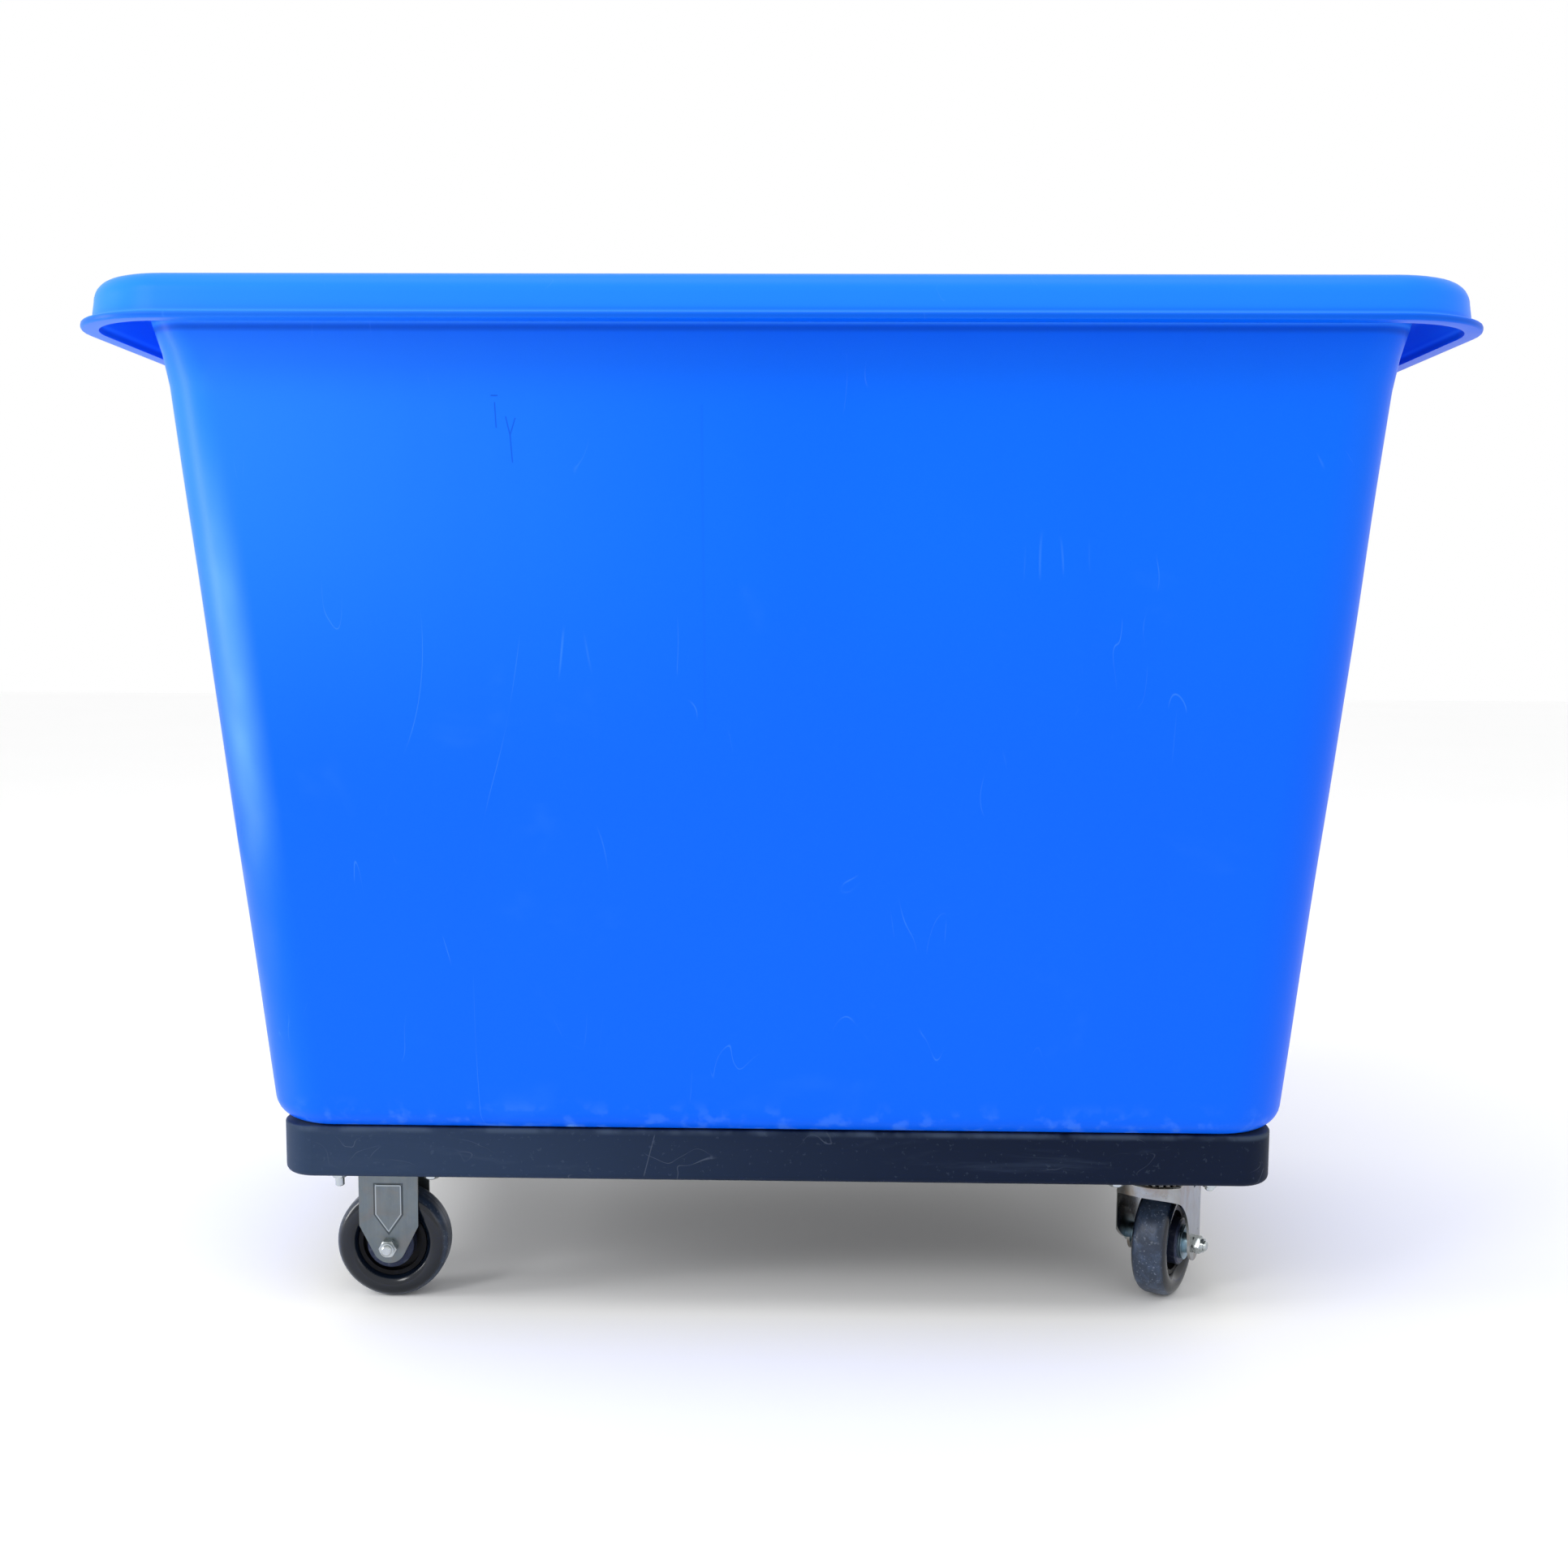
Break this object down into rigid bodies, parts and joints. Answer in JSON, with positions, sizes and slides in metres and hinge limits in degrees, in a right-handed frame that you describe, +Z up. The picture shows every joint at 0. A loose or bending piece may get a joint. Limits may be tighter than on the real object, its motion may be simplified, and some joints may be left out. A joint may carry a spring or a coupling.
{
  "type": "bulk tub truck",
  "caption": "Deep tapered plastic tub with a rolled rim, bolted on a flat black base with rigid casters at one end and swivel casters at the other, for moving loose bulk goods.",
  "frame": {"origin": "on the floor, under the middle of the truck", "axes": "+X along the long side towards the swivel-caster end, +Y across the truck towards the side away from the viewer, +Z up"},
  "size_m": [1.1118, 0.764, 0.88],
  "materials": {
    "blue_polyethylene": "semi-gloss moulded",
    "black_polyethylene": "satin moulded, scuffed",
    "black_tyre": "polished hard tread",
    "dark_hub": "moulded",
    "bearing_steel": "ground",
    "ball_steel": "polished",
    "bright_zinc": "bright zinc plate",
    "satin_zinc": "dull zinc plate",
    "cap_steel": "zinc plate",
    "fastener_zinc": "bright zinc plate"
  },
  "bodies": {
    "truck": {"tub": "blue_polyethylene", "base": "black_polyethylene", "carriage_bolts_rigid_near": "fastener_zinc", "fender_washers_rigid_near": "fastener_zinc", "spring_washers_rigid_near": "fastener_zinc", "plate_nuts_rigid_near": "fastener_zinc", "carriage_bolts_rigid_far": "fastener_zinc", "fender_washers_rigid_far": "fastener_zinc", "spring_washers_rigid_far": "fastener_zinc", "plate_nuts_rigid_far": "fastener_zinc", "carriage_bolts_swivel_near": "fastener_zinc", "fender_washers_swivel_near": "fastener_zinc", "spring_washers_swivel_near": "fastener_zinc", "plate_nuts_swivel_near": "fastener_zinc", "carriage_bolts_swivel_far": "fastener_zinc", "fender_washers_swivel_far": "fastener_zinc", "spring_washers_swivel_far": "fastener_zinc", "plate_nuts_swivel_far": "fastener_zinc", "rigid_near_axle_bolt": "fastener_zinc", "rigid_near_axle_nut": "fastener_zinc", "rigid_near_axle_sleeve": "fastener_zinc", "rigid_near_hub_caps": "cap_steel", "rigid_near_bracket": "satin_zinc", "rigid_far_axle_bolt": "fastener_zinc", "rigid_far_axle_nut": "fastener_zinc", "rigid_far_axle_sleeve": "fastener_zinc", "rigid_far_hub_caps": "cap_steel", "rigid_far_bracket": "satin_zinc", "swivel_near_top_plate": "bright_zinc", "swivel_near_kingpin": "fastener_zinc", "swivel_near_lower_race": "bright_zinc", "swivel_far_top_plate": "bright_zinc", "swivel_far_kingpin": "fastener_zinc", "swivel_far_lower_race": "bright_zinc"},
    "rigid_wheel_near": {"rigid_near_wheel_core": "dark_hub", "rigid_near_tyre": "black_tyre", "rigid_near_wheel_bearing": "bearing_steel"},
    "rigid_wheel_far": {"rigid_far_wheel_core": "dark_hub", "rigid_far_tyre": "black_tyre", "rigid_far_wheel_bearing": "bearing_steel"},
    "swivel_fork_near": {"swivel_near_yoke": "bright_zinc", "swivel_near_upper_balls": "ball_steel", "swivel_near_lower_balls": "ball_steel", "swivel_near_axle_bolt": "fastener_zinc", "swivel_near_axle_nut": "fastener_zinc", "swivel_near_axle_sleeve": "fastener_zinc", "swivel_near_hub_caps": "cap_steel"},
    "swivel_wheel_near": {"swivel_near_wheel_core": "dark_hub", "swivel_near_tyre": "black_tyre", "swivel_near_wheel_bearing": "bearing_steel"},
    "swivel_fork_far": {"swivel_far_yoke": "bright_zinc", "swivel_far_upper_balls": "ball_steel", "swivel_far_lower_balls": "ball_steel", "swivel_far_axle_bolt": "fastener_zinc", "swivel_far_axle_nut": "fastener_zinc", "swivel_far_axle_sleeve": "fastener_zinc", "swivel_far_hub_caps": "cap_steel"},
    "swivel_wheel_far": {"swivel_far_wheel_core": "dark_hub", "swivel_far_tyre": "black_tyre", "swivel_far_wheel_bearing": "bearing_steel"}
  },
  "joints": [
    {"name": "rigid_wheel_near_roll", "type": "hinge", "parent": "truck", "child": "rigid_wheel_near", "pos_m": [-0.349, -0.1941, 0.0508], "axis": [0, 1, 0], "continuous": true},
    {"name": "rigid_wheel_far_roll", "type": "hinge", "parent": "truck", "child": "rigid_wheel_far", "pos_m": [-0.349, 0.1941, 0.0508], "axis": [0, 1, 0], "continuous": true},
    {"name": "swivel_near_turn", "type": "hinge", "parent": "truck", "child": "swivel_fork_near", "pos_m": [0.3445, -0.1941, 0.12], "axis": [0, 0, 1], "continuous": true},
    {"name": "swivel_wheel_near_roll", "type": "hinge", "parent": "swivel_fork_near", "child": "swivel_wheel_near", "pos_m": [0.35788, -0.17065, 0.0508], "axis": [-0.8686, 0.4955, 0], "continuous": true},
    {"name": "swivel_far_turn", "type": "hinge", "parent": "truck", "child": "swivel_fork_far", "pos_m": [0.3445, 0.1941, 0.12], "axis": [0, 0, 1], "continuous": true},
    {"name": "swivel_wheel_far_roll", "type": "hinge", "parent": "swivel_fork_far", "child": "swivel_wheel_far", "pos_m": [0.35788, 0.21755, 0.0508], "axis": [-0.8686, 0.4955, 0], "continuous": true}
  ]
}
